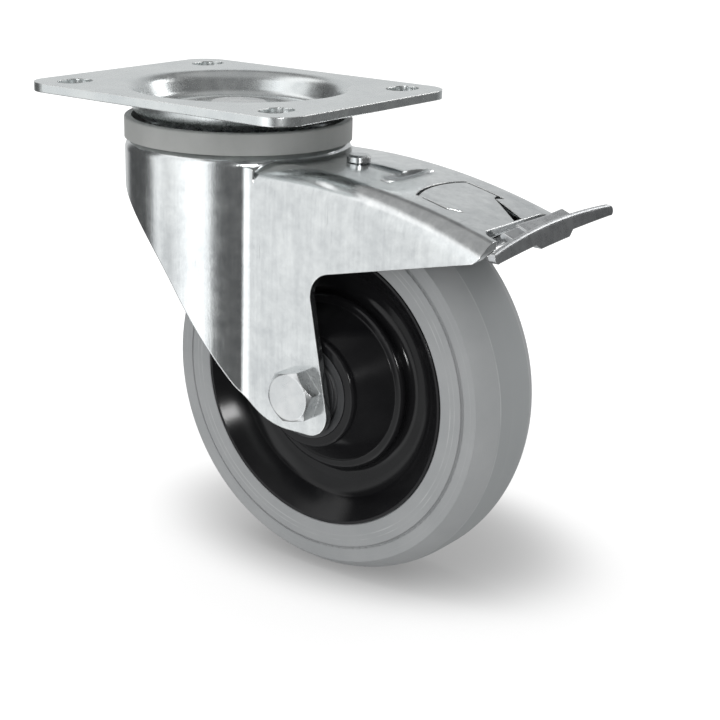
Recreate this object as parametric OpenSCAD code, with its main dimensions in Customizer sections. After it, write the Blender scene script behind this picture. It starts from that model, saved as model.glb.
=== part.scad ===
// Swivel castor with a top plate, a deep drawn fork, a grey rubber wheel and a
// foot pedal that locks the wheel and the swivel at the same time.
// Origin: centre of the plate's top face, on the swivel axis. +Z is up, +X points
// from the swivel axis towards the wheel and the pedal, Y runs along the axle.

/* [Top plate] */
// Length of the plate along X
plate_l = 135; // [128:1:145]
// Width of the plate along Y
plate_w = 110; // [105:1:120]
// Thickness of the plate's sheet
plate_t = 3.5; // [3:0.25:4]
// Corner radius of the plate
plate_corner_r = 12; // [8:1:16]
// Distance between the slots along X
slot_pitch_x = 105; // [98:1:108]
// Distance between the slot centres along Y
slot_pitch_y = 80; // [75:1:84]
// Width of a slot
slot_d = 11; // [9:0.5:12]
// Overall length of a slot along Y
slot_len = 15.5; // [13:0.5:18]
// Radius at which the pressed dish starts to leave the flat plate
dish_r = 47; // [46:0.5:49]
// Depth of the dish, from the plate's top face to its floor
dish_depth = 10; // [9:0.5:11]
// Radius of the bend at the rim of the dish
dish_lip_r = 6; // [5.5:0.5:6.5]
// Radius of the bend at the floor of the dish
dish_floor_bend_r = 4; // [3:0.5:4.5]
// Slant of the dish's wall, measured from upright
dish_wall_slant = 25; // [20:1:28]

/* [Swivel head] */
// Diameter of the upper balls
upper_ball_d = 9; // [8.5:0.25:9.5]
// Radius of the circle of upper balls
upper_pitch_r = 32; // [31:0.5:33]
// Number of upper balls
upper_ball_n = 20; // [16:1:20]
// Diameter of the lower balls
lower_ball_d = 7.5; // [7:0.25:8]
// Radius of the circle of lower balls
lower_pitch_r = 19; // [18.5:0.5:20]
// Number of lower balls
lower_ball_n = 14; // [11:1:14]
// Height of the gap between the dish and the fork's crown
upper_race_h = 7; // [6.5:0.25:7.25]
// Height of the gap between the fork's crown and the lock ring
lower_race_h = 6.5; // [6:0.25:7]
// Radius of the king pin's shank
king_pin_r = 8; // [7:0.5:9]
// Outer radius of the grey seal ring
seal_r = 46.2; // [45.5:0.1:46.8]
// Height of the grey seal ring
seal_h = 8.5; // [7.5:0.5:9]
// Wall of the grey seal ring
seal_t = 2.8; // [2:0.2:3]
// Outer radius of the toothed lock ring
lock_ring_r = 32; // [31:0.5:33]
// Thickness of the toothed lock ring
lock_ring_t = 3; // [2.5:0.25:3.25]
// Number of gaps in the lock ring
lock_gap_n = 24; // [12:12:24]
// Width of a gap in the lock ring
lock_gap_w = 4.8; // [4.4:0.1:5]

/* [Fork] */
// Sheet thickness of the fork
fork_t = 3; // [2.5:0.25:3.5]
// Outer radius of the round crown
crown_r = 46; // [45:0.5:47]
// Width of the fork over its legs
fork_w = 66; // [64:1:70]
// Horizontal distance from the swivel axis to the axle
trail = 59; // [57:1:61]
// Height of the roof's straight start below the crown's top
roof_step = 2.5; // [2:0.25:3]
// Radius of the roof's long curve in the side view
roof_r = 285; // [270:5:310]
// Bend radius between the roof and the legs
roof_bend_r = 10; // [8:0.5:11]
// Distance from the swivel axis to the rear end of the legs
fork_rear_x = 138; // [136:0.5:140]
// Height of metal under the axle
leg_below = 16; // [14:0.5:18]
// Width of the leg behind the axle
leg_behind = 15; // [13:0.5:17]
// Radius of the leg's front lower corner
leg_front_r = 30; // [24:1:32]
// Gap between the fork's roof and the tyre
tyre_gap = 4.7; // [4.4:0.1:6]

/* [Wheel] */
// Diameter of the wheel
wheel_d = 158; // [156:1:162]
// Width of the tyre
tyre_w = 40; // [38:1:42]
// Width of the flat tread
tread_w = 8; // [6:1:12]
// Radius of the tyre's shoulder
shoulder_r = 23; // [21:0.5:24]
// Radius of the black rim
rim_r = 57; // [55:0.5:59]
// Radius of the hub at its end faces
hub_r = 23; // [22.5:0.25:24]
// Length of the hub
hub_l = 57; // [56:0.5:58]
// Clearance between the hub and a leg of the fork
hub_gap = 1.5; // [1.25:0.25:2]
// Thickness of the rim's web
web_t = 16; // [14:1:18]
// Outer diameter of the ball bearings
bearing_d = 35; // [34:0.5:36]
// Bore of the ball bearings
bearing_bore = 17; // [16:0.5:18]
// Width of a ball bearing
bearing_w = 10; // [9.5:0.5:11]
// Diameter of the bearing balls
bearing_ball_d = 4.8; // [4.4:0.1:5]
// Balls in one bearing
bearing_ball_n = 10; // [7:1:11]

/* [Axle] */
// Diameter of the axle bolt
bolt_d = 12; // [10:1:12]
// Width of the bolt head over its flats
head_flats = 19; // [18:0.5:20]
// Height of the bolt head
head_h = 7; // [6:0.5:8]
// Height of the lock nut
nut_h = 10; // [9:0.5:12]
// Thickness of the nut's washer
washer_t = 2.5; // [2:0.25:3]

/* [Pedal and lock] */
// Distance from the swivel axis to the pedal's pin
pedal_x = 113; // [112:0.5:114]
// Height of the pedal's pin above the axle
pedal_up = 69.5; // [69:0.25:70.5]
// Diameter of the pedal's pin
pedal_pin_d = 6; // [5:0.5:6]
// Angle through which the pedal is pressed
pedal_travel = 18; // [14:1:20]
// Sheet thickness of the pedal
pedal_t = 3; // [2.75:0.25:3.5]
// Width of the pedal over both wings
pedal_w = 83; // [76:1:90]
// Width of the pedal's neck at the pin
neck_w = 22; // [18:1:24]
// Width of the pedal's shoulder behind the fork
shoulder_w = 41; // [36:1:42]
// Length of the pedal's blade between its rounded edges
blade_h = 4.5; // [4:0.1:6]
// Lean of the pedal's blade, measured from level
blade_lean = 102; // [96:1:108]
// Radius of the sweep of the wings, to the rear and down
blade_sweep_r = 320; // [280:10:360]
// Turn by which the blade stands crooked, its far wing higher
blade_roll = 3; // [0:0.5:4]
// Width of the brake shoe
shoe_w = 17; // [15:1:20]
// Length of the brake shoe along the tread
shoe_l = 9; // [8:0.5:10]
// Thickness of the brake shoe
shoe_t = 3; // [2.5:0.25:3.5]
// Distance from the swivel axis to the ridge on which the lock lever rocks
rocker_x = 84; // [82:0.5:86]
// Thickness of the lock lever
lever_t = 1.6; // [1.4:0.1:1.7]
// Width of the lock lever
lever_w = 16; // [12:1:18]
// Width of the lock lever's tooth
lever_tooth_w = 3.8; // [3.4:0.1:4]

/* [Fits] */
// Radial clearance of parts that are pressed or moulded together
fit_gap = 0.03; // [0.02:0.01:0.05]
// Radial clearance of parts that turn on each other
run_gap = 0.06; // [0.04:0.01:0.1]
// Clearance between moving parts that must not touch
free_gap = 0.3; // [0.3:0.05:0.4]

/* [Hidden] */
$fn = 96;
big = 200;
wheel_r = wheel_d / 2;
// Heights in the swivel head, from the plate down
floor_z = -dish_depth;
floor_under_z = floor_z - plate_t;
crown_z = floor_under_z - upper_race_h;
crown_under_z = crown_z - fork_t;
upper_ball_z = crown_z + upper_race_h / 2;
lower_ball_z = crown_under_z - lower_race_h / 2;
lock_top_z = crown_under_z - lower_race_h;
lock_bottom_z = lock_top_z - lock_ring_t;
// Roof of the fork
roof_z = crown_z - roof_step;
roof_x0 = 46;
roof_under_z = roof_z - fork_t;
// The tyre's highest point lies under the roof just behind the crown
axle_z = roof_under_z - roof_drop(trail) - tyre_gap - wheel_r;
hub_half = hub_l / 2;
// The legs stand as wide as the fork is made, and never closer than the hub needs
leg_y = max(fork_w / 2, hub_half + hub_gap + fork_t);
leg_in_y = leg_y - fork_t;
bearing_out_y = hub_half - 2.5;
bearing_pitch_r = (bearing_d + bearing_bore) / 4;
bearing_r = bearing_d / 2;
tube_r = bearing_bore / 2;
bolt_r = bolt_d / 2;
pedal_z = axle_z + pedal_up;
pin_r = pedal_pin_d / 2;
boss_r = pin_r + 2.2;
lug_y = 17.4;
lug_t = fork_t;
boss_y = neck_w / 2 + 2.5;
ridge_h = 1.3;
shoe_angle = 49;
shoe_back = wheel_r + free_gap + shoe_t;

// Height that the roof has lost at the distance x from the swivel axis
function roof_drop(x) = x < roof_x0 ? 0 : roof_r - sqrt(roof_r * roof_r - pow(x - roof_x0, 2));
function unit(v) = v / norm(v);

// Wedge between two edges and the arc that rounds their corner. It reaches a little over
// both edges, and its arc bites into them so that it never only touches them.
module corner_bit(p, q1, q2, r) {
    bite = 0.02;
    u = unit(q1 - p);
    v = unit(q2 - p);
    half = acos(u * v) / 2;
    c = p + unit(u + v) * r / sin(half);
    reach = r / tan(half);
    over = 0.4;
    difference() {
        polygon([p - over * (u + v), p + reach * u - over * v, p + reach * u, c,
            p + reach * v, p + reach * v - over * u]);
        translate(c) circle(r = r + bite);
    }
}

// Straight strip with round ends
module strip(p, q, w) {
    bite = 0.04;
    translate(p) circle(d = w + bite, $fn = 32);
    translate(q) circle(d = w + bite, $fn = 32);
    translate(p)
        rotate(atan2(q[1] - p[1], q[0] - p[0]))
            translate([0, -w / 2])
                square([norm(q - p), w]);
}

// Extrudes a side view (x, z) to both sides of the middle plane
module across(w) {
    rotate([90, 0, 0]) linear_extrude(w, center = true) children();
}

// Revolves a section (radius, y) round the axle
module on_axle() {
    translate([trail, 0, axle_z]) rotate([90, 0, 0]) rotate_extrude() children();
}

// Places children on both sides of the wheel
module both_sides() {
    children();
    mirror([0, 1, 0]) children();
}

// Air of the dish, or the air together with the sheet when s is the sheet's thickness
module dish_section(s) {
    a = dish_lip_r - s;
    b = dish_floor_bend_r + s;
    sw = sin(dish_wall_slant);
    cw = cos(dish_wall_slant);
    lip = [dish_r, -dish_lip_r];
    wall = (dish_depth - dish_lip_r - dish_floor_bend_r + (dish_lip_r + dish_floor_bend_r) * sw) / cw;
    floor_r = dish_r - (dish_lip_r + dish_floor_bend_r) * cw - wall * sw;
    bend = [floor_r, -dish_depth + dish_floor_bend_r];
    difference() {
        union() {
            polygon([[0, 1 - s], [dish_r, 1 - s], lip, lip + a * [-cw, sw],
                bend + b * [cw, -sw], bend, [floor_r, -dish_depth - s], [0, -dish_depth - s]]);
            intersection() {
                translate(bend) circle(r = b);
                translate([0, -dish_depth - s]) square([dish_r, dish_depth]);
            }
        }
        translate(lip) circle(r = a);
    }
}

module slot_2d() {
    for (s = [-1, 1])
        translate([0, s * (slot_len - slot_d) / 2]) circle(d = slot_d);
    square([slot_d, slot_len - slot_d], center = true);
}

module plate_2d() {
    x = plate_l / 2 - plate_corner_r;
    y = plate_w / 2 - plate_corner_r;
    square([2 * x, plate_w], center = true);
    square([plate_l, 2 * y], center = true);
    for (sx = [-1, 1], sy = [-1, 1])
        translate([sx * x, sy * y]) circle(r = plate_corner_r);
}

module top_plate() {
    ridge_r = upper_ball_d / 2 + free_gap + plate_t;
    color("#c6cacc") difference() {
        union() {
            translate([0, 0, -plate_t]) linear_extrude(plate_t) plate_2d();
            rotate_extrude() dish_section(plate_t);
        }
        difference() {
            rotate_extrude() dish_section(0);
            // Pressed ridge over the ball track
            rotate_extrude()
                translate([upper_pitch_r, upper_ball_z])
                    circle(r = ridge_r);
        }
        for (sx = [-1, 1], sy = [-1, 1])
            translate([sx * slot_pitch_x / 2, sy * slot_pitch_y / 2, -2 * plate_t])
                linear_extrude(3 * plate_t)
                    slot_2d();
        rotate_extrude()
            translate([upper_pitch_r, upper_ball_z])
                circle(r = upper_ball_d / 2 + free_gap);
        translate([0, 0, -big / 2]) cylinder(r = king_pin_r + fit_gap, h = big);
    }
}

module king_pin() {
    shoulder_r = king_pin_r + 3;
    color("#b4b8ba") union() {
        // Flat riveted head in the dish, with a turned edge
        translate([0, 0, floor_z]) cylinder(r = king_pin_r + 5, h = 2);
        translate([0, 0, floor_z + 2]) cylinder(r1 = king_pin_r + 5, r2 = king_pin_r + 3, h = 1.5);
        translate([0, 0, floor_under_z]) cylinder(r = king_pin_r, h = plate_t);
        translate([0, 0, lock_top_z]) cylinder(r = shoulder_r, h = floor_under_z - lock_top_z);
        translate([0, 0, lock_bottom_z]) cylinder(r = king_pin_r, h = lock_ring_t);
        translate([0, 0, lock_bottom_z - 3]) cylinder(r = king_pin_r + 4, h = 3);
        translate([0, 0, lock_bottom_z - 4.5])
            cylinder(r1 = king_pin_r + 1, r2 = king_pin_r + 4, h = 1.5);
    }
}

module lock_ring() {
    color("#8f9496") difference() {
        translate([0, 0, lock_bottom_z]) cylinder(r = lock_ring_r, h = lock_ring_t);
        translate([0, 0, lock_bottom_z - 1]) cylinder(r = king_pin_r + fit_gap, h = lock_ring_t + 2);
        rotate_extrude()
            translate([lower_pitch_r, lower_ball_z])
                circle(r = lower_ball_d / 2 + free_gap);
        // Gaps into which the lock lever's tooth drops
        for (i = [0:lock_gap_n - 1])
            rotate(i * 360 / lock_gap_n)
                translate([lock_ring_r - 5, -lock_gap_w / 2, lock_bottom_z - 1])
                    cube([10, lock_gap_w, lock_ring_t + 2]);
    }
}

// Section of the crown, a cup with a rounded upper edge
module crown_section(r, top, bend) {
    low = axle_z - 30;
    translate([0, low]) square([r, top - bend - low]);
    translate([0, top - bend - 1]) square([r - bend, bend + 1]);
    translate([r - bend, top - bend]) circle(r = bend);
}

// Section of the roof and the legs across the fork, its top at the radius r
module roof_section(r, half_w, bend) {
    low = r - roof_z + axle_z - 30;
    translate([low, -half_w]) square([r - bend - low, 2 * half_w]);
    translate([low, bend - half_w]) square([r - low, 2 * (half_w - bend)]);
    for (s = [-1, 1])
        translate([r - bend, s * (half_w - bend)]) circle(r = bend);
}

// Solid under the roof, straight at the crown and then curving down to the rear
module roof_solid(inset) {
    translate([roof_x0, 0, roof_z - roof_r]) {
        rotate([0, -90, 0])
            linear_extrude(roof_x0)
                roof_section(roof_r - inset, leg_y - inset, roof_bend_r - inset);
        rotate([-90, 0, 0]) rotate([0, 0, -90])
            rotate_extrude(angle = 26)
                roof_section(roof_r - inset, leg_y - inset, roof_bend_r - inset);
    }
}

// Soft upright bend where the round crown runs into a flat leg
module leg_blend() {
    blend_r = 8;
    bite = 0.06;
    cy = leg_y + blend_r - bite;
    cx = sqrt(pow(crown_r + blend_r - bite, 2) - cy * cy);
    reach = 0.97 * crown_r / (crown_r + blend_r);
    low = axle_z - 30;
    intersection() {
        translate([0, 0, low]) linear_extrude(-low) difference() {
            polygon([[cx * reach, cy * reach], [cx, cy], [cx, leg_y - 1], [cx * reach, leg_y - 1]]);
            translate([cx, cy]) circle(r = blend_r);
        }
        rotate_extrude() crown_section(crown_r + 8, crown_z - 4, 10);
    }
}

// Outline of the fork in the side view
module fork_side() {
    low = axle_z - leg_below;
    front_r = 100;
    slope = 58.6;
    // The front edge is a large arc that runs on as a straight line
    arc_end = [trail - 53.1, axle_z + 34.6];
    arc_c = arc_end - front_r * [sin(slope), cos(slope)];
    toe = [arc_end[0] + (arc_end[1] - low) / tan(slope), low];
    heel = [trail + leg_behind + 0.6, low];
    window = [trail + 3.2, axle_z + 47.6];
    rear_low = [fork_rear_x, window[1] + (fork_rear_x - window[0]) * 0.232];
    rear_top = [fork_rear_x + 3, roof_z + 10];
    difference() {
        union() {
            difference() {
                polygon([[-60, roof_z + 10], [-60, arc_end[1]], arc_end, toe, heel, window,
                    rear_low, rear_top]);
                translate(arc_c) circle(r = front_r, $fn = 180);
            }
            corner_bit(window, heel, rear_low, 10);
            translate([-60, crown_z - 1]) square([120, 20]);
        }
        corner_bit(toe, arc_end, heel, leg_front_r);
        corner_bit(heel, toe, window, 9);
        corner_bit(rear_low, window, rear_top, 5);
    }
}

// Cuts in the roof that free the tongue, seen from above
module tongue_cuts_2d() {
    gap = 1.3;
    side = 16.5;
    front = 96.8;
    arc_r = 41.5;
    intersection() {
        translate([front + arc_r, 0]) difference() {
            circle(r = arc_r + gap / 2);
            circle(r = arc_r - gap / 2);
        }
        translate([front - 5, -side - 0.3]) square([12, 2 * side + 0.3]);
    }
    strip([front + 3.3, side - 0.2], [front + 20, side - 0.6], gap);
    strip([front + 6.5, -side - 0.2], [front + 16.5, -side - 0.8], gap);
    strip([front + 16.5, -side - 0.8], [front + 21.2, -side + 3], gap);
    // Small notch and open corner beside the tongue's root
    polygon([[front + 17.5, side - 0.4], [front + 21, side - 0.4], [front + 19.4, side - 4.2],
        [front + 34.6, side - 10], [front + 34.6, side - 15.5], [front + 18.6, side - 4.2]]);
}

module pedal_lug() {
    intersection() {
        translate([0, lug_y + lug_t / 2, 0]) across(lug_t) difference() {
            union() {
                translate([pedal_x, pedal_z]) circle(r = pin_r + 3);
                translate([pedal_x - pin_r - 3, pedal_z]) square([2 * pin_r + 6, 20]);
            }
            translate([pedal_x, pedal_z]) circle(r = pin_r + fit_gap);
        }
        roof_solid(fork_t / 2);
    }
}

module fork() {
    rivet_x = trail + 2;
    stem_x = rivet_x + 14;
    t_sweep_r = 62;
    t_r = 6;
    color("#cfd3d4") difference() {
        union() {
            intersection() {
                difference() {
                    union() {
                        rotate_extrude() crown_section(crown_r, crown_z, 4.5);
                        roof_solid(0);
                        both_sides() leg_blend();
                    }
                    rotate_extrude() crown_section(crown_r - fork_t, crown_under_z, 2);
                    roof_solid(fork_t);
                }
                across(2 * crown_r + 20) fork_side();
            }
            both_sides() pedal_lug();
            // Underside of the pressed ridge on which the lock lever rocks
            translate([rocker_x, 0, roof_under_z - roof_drop(rocker_x) + 2.6 - ridge_h])
                rotate([90, 0, 0])
                    cylinder(r = 2.6, h = 30, center = true);
        }
        // Open end of the roof over the pedal's neck
        translate([0, 0, roof_z - 60]) linear_extrude(70) difference() {
            translate([fork_rear_x - 6, -leg_y + 11]) square([30, 2 * leg_y - 22]);
            corner_bit([fork_rear_x - 6, leg_y - 11], [fork_rear_x, leg_y - 11],
                [fork_rear_x - 6, 0], 4);
            corner_bit([fork_rear_x - 6, 11 - leg_y], [fork_rear_x, 11 - leg_y],
                [fork_rear_x - 6, 0], 4);
        }
        // Pressed T on the roof, a soft bar across and a stem that runs up to the rivet
        translate([rocker_x, 0, roof_z - roof_drop(rocker_x) - 1.4 + t_sweep_r + t_r])
            rotate([0, 90, 0]) rotate_extrude()
                translate([t_sweep_r, 0]) circle(r = t_r, $fn = 48);
        translate([stem_x, 0, roof_z - roof_drop(stem_x)])
            rotate([0, asin((stem_x - roof_x0) / roof_r), 0])
                translate([0, 0, t_sweep_r + t_r - 1])
                    rotate([90, 0, 0]) rotate_extrude()
                        translate([t_sweep_r, 0]) circle(r = t_r, $fn = 48);
        translate([0, 0, roof_z - 20]) linear_extrude(30) tongue_cuts_2d();
        translate([0, 0, -big / 2]) cylinder(r = king_pin_r + 6, h = big);
        rotate_extrude()
            translate([upper_pitch_r, upper_ball_z])
                circle(r = upper_ball_d / 2 + fit_gap);
        rotate_extrude()
            translate([lower_pitch_r, lower_ball_z])
                circle(r = lower_ball_d / 2 + fit_gap);
        translate([rivet_x, 0, roof_z - 10]) cylinder(d = 6, h = 20);
        translate([trail, 0, axle_z]) rotate([90, 0, 0])
            cylinder(r = bolt_r + fit_gap, h = big, center = true);
    }
}

module seal_ring() {
    foot_r = seal_r - 6;
    color("#9a9e9f") rotate_extrude() difference() {
        union() {
            translate([seal_r - seal_t, crown_z]) square([seal_t, seal_h]);
            translate([foot_r, crown_z]) square([seal_r - foot_r, 1.8]);
        }
        corner_bit([seal_r, crown_z + seal_h], [seal_r, crown_z], [seal_r - 3, crown_z + seal_h], 0.8);
    }
}

module upper_balls() {
    color("#d8dadb")
        for (i = [0:upper_ball_n - 1])
            rotate(i * 360 / upper_ball_n)
                translate([upper_pitch_r, 0, upper_ball_z])
                    sphere(d = upper_ball_d);
}

module lower_balls() {
    color("#d8dadb")
        for (i = [0:lower_ball_n - 1])
            rotate(i * 360 / lower_ball_n)
                translate([lower_pitch_r, 0, lower_ball_z])
                    sphere(d = lower_ball_d);
}

// Rivet that fills its hole in the roof and ends flush with the roof's underside
module roof_rivet() {
    rivet_x = trail + 2;
    top = roof_z - roof_drop(rivet_x);
    color("#b9bdbf") union() {
        translate([rivet_x, 0, top - fork_t + 0.3]) cylinder(d = 6 - 2 * fit_gap, h = fork_t);
        translate([rivet_x, 0, top + 0.25]) cylinder(d = 9.5, h = 2);
        translate([rivet_x, 0, top + 2.25]) cylinder(d1 = 9.5, d2 = 7.5, h = 0.8);
    }
}

module axle_bolt() {
    color("#c9cccd") translate([trail, 0, axle_z]) rotate([90, 0, 0]) union() {
        translate([0, 0, -leg_y - washer_t - nut_h - 2]) cylinder(r = bolt_r, h = 2 * leg_y + washer_t + nut_h + 2);
        intersection() {
            translate([0, 0, leg_y]) rotate(12) cylinder(d = head_flats / cos(30), h = head_h, $fn = 6);
            union() {
                translate([0, 0, leg_y]) cylinder(d = head_flats * 1.16, h = head_h - 1.6);
                translate([0, 0, leg_y + head_h - 1.6])
                    cylinder(d1 = head_flats * 1.16, d2 = head_flats * 0.95, h = 1.6);
            }
        }
    }
}

module axle_nut() {
    color("#c9cccd") translate([trail, leg_y + washer_t, axle_z]) rotate([-90, 0, 0]) difference() {
        union() {
            rotate(8) cylinder(d = head_flats / cos(30), h = nut_h - 3, $fn = 6);
            cylinder(d = head_flats * 0.92, h = nut_h);
        }
        translate([0, 0, -1]) cylinder(r = bolt_r + fit_gap, h = nut_h + 2);
    }
}

module axle_washer() {
    color("#bfc3c4") translate([trail, leg_y, axle_z]) rotate([-90, 0, 0]) difference() {
        cylinder(d = bolt_d * 2, h = washer_t);
        translate([0, 0, -1]) cylinder(r = bolt_r + fit_gap, h = washer_t + 2);
    }
}

module axle_tube() {
    color("#a8acae") translate([trail, 0, axle_z]) rotate([90, 0, 0]) difference() {
        cylinder(r = tube_r, h = 2 * leg_in_y, center = true);
        cylinder(r = bolt_r + fit_gap, h = big, center = true);
    }
}

// Section of a ring from radius r1 to r2 with a ball track
module race_section(r1, r2) {
    difference() {
        translate([r1, bearing_out_y - bearing_w]) square([r2 - r1, bearing_w]);
        translate([bearing_pitch_r, bearing_out_y - bearing_w / 2])
            circle(d = bearing_ball_d + 2 * free_gap);
    }
}

module bearing_inner_rings() {
    color("#d0d3d4") both_sides() on_axle()
        race_section(tube_r + fit_gap, bearing_pitch_r - bearing_ball_d * 0.33);
}

module bearing_outer_rings() {
    color("#d0d3d4") both_sides() on_axle()
        race_section(bearing_pitch_r + bearing_ball_d * 0.33, bearing_r);
}

module bearing_balls() {
    color("#d8dadb") both_sides()
        for (i = [0:bearing_ball_n - 1])
            translate([trail, bearing_w / 2 - bearing_out_y, axle_z])
                rotate([0, i * 360 / bearing_ball_n, 0])
                    translate([bearing_pitch_r, 0, 0])
                        sphere(d = bearing_ball_d);
}

// Thin ring that closes the outer face of a bearing
module bearing_seals() {
    color("#2b2d2e") both_sides() on_axle()
        translate([tube_r + 0.8, bearing_out_y])
            square([bearing_r - tube_r - 0.8, 0.6]);
}

module hub_covers() {
    cover_r = bearing_r + 1.5;
    face = hub_half + 0.3;
    low = bearing_out_y + 0.6;
    color("#3a3c3e") both_sides() on_axle() difference() {
        translate([tube_r + 0.8, low]) square([cover_r - fit_gap - tube_r - 0.8, face - low]);
        translate([cover_r - 4.2, face]) circle(r = 1.1, $fn = 48);
        corner_bit([tube_r + 0.8, face], [tube_r + 0.8, low], [cover_r, face], 0.8);
    }
}

module tyre() {
    half = tyre_w / 2;
    tread = tread_w / 2;
    drop_r = wheel_r - shoulder_r;
    line_r = rim_r + 10;
    side_drop = 0.5;
    color("#9b9fa2") on_axle() difference() {
        intersection() {
            union() {
                translate([rim_r, -tread]) square([wheel_r - rim_r, tread_w]);
                for (s = [-1, 1]) translate([drop_r, s * tread]) circle(r = shoulder_r, $fn = 180);
            }
            translate([rim_r + fit_gap, -half]) square([wheel_r, tyre_w]);
        }
        for (s = [-1, 1]) {
            // The side wall lies lower than the bead, with a fine moulded line between them
            translate([line_r, s > 0 ? half - side_drop : side_drop - half - 5])
                square([wheel_r, 5]);
            translate([line_r, s * (half - side_drop + 0.1)]) circle(r = 0.6, $fn = 32);
            // Slanted inner edge at the rim
            corner = [rim_r + fit_gap, s * half];
            polygon([corner + [0.9, s * 0.3], corner + [-0.3, s * 0.3], corner - [0.3, s * 0.9]]);
        }
    }
}

module rim() {
    seat = tyre_w / 2 + 0.2;
    web = web_t / 2;
    step_r = hub_r + 13;
    color("#1b1c1e") on_axle() difference() {
        translate([bearing_r - 4, -hub_half]) square([rim_r - bearing_r + 4, hub_l]);
        for (s = [-1, 1]) {
            // Space outside the seat of the tyre
            translate([hub_r + 6, s > 0 ? seat : -seat - 20]) square([rim_r, 20]);
            // Slanted hub above its step
            polygon([[hub_r, s * (hub_half + 1)], [hub_r, s * (hub_half - 3)],
                [step_r - 3.5, s * (web + 6)], [step_r + 2, s * (web + 6)], [step_r + 2, s * (hub_half + 1)]]);
            // Hollow between the step and the outer flange
            difference() {
                polygon([[step_r, s * (hub_half + 1)], [step_r, s * web],
                    [rim_r - 11, s * web], [rim_r - 0.9, s * (seat + 0.1)], [rim_r - 0.9, s * (hub_half + 1)]]);
                corner_bit([step_r, s * web], [step_r, s * hub_half], [rim_r - 11, s * web], 3.5);
                corner_bit([rim_r - 11, s * web], [step_r, s * web],
                    [rim_r - 0.9, s * (seat + 0.1)], 9);
            }
            corner_bit([step_r, s * (web + 6)], [step_r, s * web], [hub_r, s * (web + 6)], 1.8);
            corner_bit([hub_r, s * hub_half], [hub_r, s * web], [0, s * hub_half], 1.2);
            // Bearing seat and the recess of the hub cover
            translate([0, s > 0 ? bearing_out_y - bearing_w : -hub_half - 1])
                square([bearing_r + fit_gap, bearing_w + hub_half + 1 - bearing_out_y]);
            translate([0, s > 0 ? bearing_out_y + 0.6 : -hub_half - 1])
                square([bearing_r + 1.5, hub_half + 0.4 - bearing_out_y]);
        }
    }
}

module pedal_pin() {
    end_y = lug_y + lug_t + 1;
    color("#b9bdbf") translate([pedal_x, 0, pedal_z]) rotate([90, 0, 0])
        cylinder(r = pin_r, h = 2 * end_y, center = true);
}

// Closely wound torsion spring beside the pedal's boss, its coils drawn as one ribbed sleeve
module return_spring() {
    wire = 1.1;
    coil_r = pin_r + 1.2;
    first_y = boss_y + 0.9;
    color("#8b8f91") translate([pedal_x, 0, pedal_z]) union() {
        rotate([-90, 0, 0]) rotate_extrude()
            for (i = [0:2])
                translate([coil_r, first_y + i * 0.95]) circle(d = wire, $fn = 48);
        translate([0, first_y, coil_r]) rotate([0, 97, 0]) cylinder(d = 1, h = 9);
        translate([0, first_y + 1.9, coil_r]) rotate([0, -84, 0]) cylinder(d = 1, h = 9);
    }
}

// Side view of the neck, from the nose under the lock lever to the blade
module neck_side() {
    nose = [pedal_x - 4.6, pedal_z + 2.9];
    mid = [pedal_x + 8, pedal_z + 0.6];
    dip = [pedal_x + 18.5, pedal_z - 1.6];
    crest = [pedal_x + 27, pedal_z + 4.9];
    end = [pedal_x + 32.4, pedal_z + 2.7];
    strip(nose, mid, pedal_t * 0.72);
    strip([pedal_x, pedal_z + 1], mid, pedal_t);
    strip(mid, dip, pedal_t);
    strip(dip, crest, pedal_t);
    strip(crest, end, pedal_t);
}

// Turns children about a line along the middle of the neck, as the blade stands
module crooked() {
    translate([0, 0, pedal_z + 4]) rotate([blade_roll, 0, 0]) translate([0, 0, -pedal_z - 4])
        children();
}

// Side view of the wide shoulder that carries the blade, behind the fork
module shoulder_side() {
    front = [fork_rear_x + 2.2, pedal_z + 4.7];
    rear = [pedal_x + 32.7, pedal_z + 2.5];
    strip(front, rear, pedal_t - 0.3);
}

// Blade whose wings sweep a little to the rear and down, and taper to round tips
module blade() {
    foot = [pedal_x + 34.8, pedal_z + 1];
    up = [cos(blade_lean), sin(blade_lean)];
    rear = [sin(blade_lean), -cos(blade_lean)];
    top = foot + blade_h * up;
    sweep_down = 50;
    out = [-cos(sweep_down), sin(sweep_down)];
    along = [sin(sweep_down), cos(sweep_down)];
    half = pedal_w / 2;
    tip_r = 1.9;
    tip_drop = (blade_sweep_r - sqrt(pow(blade_sweep_r, 2) - half * half)) * sin(sweep_down);
    tip = [half - tip_r, top[1] - tip_drop - 0.4];
    // Section with its upper edge broken by narrow bevels
    edge = [for (a = [90, 60, 32, 4, -24, -56, -90])
        top - foot + pedal_t / 2 * (sin(a) * rear + cos(a) * up)];
    section = concat([-5 * up - pedal_t / 2 * rear, -5 * up + pedal_t / 2 * rear], edge);
    intersection() {
        translate([foot[0], 0, foot[1]] - blade_sweep_r * [out[0], 0, out[1]])
            rotate([0, sweep_down, 0]) rotate_extrude($fn = 360)
                polygon([for (p = section) [blade_sweep_r + p * out, p * along]]);
        translate([pedal_x, 0, 0]) rotate([90, 0, 90]) linear_extrude(blade_sweep_r / 2) union() {
            polygon([[-tip[0], top[1] + 4], [-tip[0], tip[1] - tip_r + 0.1],
                [-13, foot[1] + 0.4], [-10, foot[1] - 1.6], [10, foot[1] - 1.6],
                [13, foot[1] + 0.4], [tip[0], tip[1] - tip_r + 0.1], [tip[0], top[1] + 4]]);
            for (s = [-1, 1])
                translate([s * tip[0], tip[1]]) circle(r = tip_r);
        }
    }
}

// Places children in the plane of the wheel at the shoe, with x along the radius
module at_shoe() {
    translate([pedal_x, 0, pedal_z]) rotate([0, -pedal_travel, 0])
        translate([trail - pedal_x, 0, axle_z - pedal_z]) rotate([0, -shoe_angle, 0])
            children();
}

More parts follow.
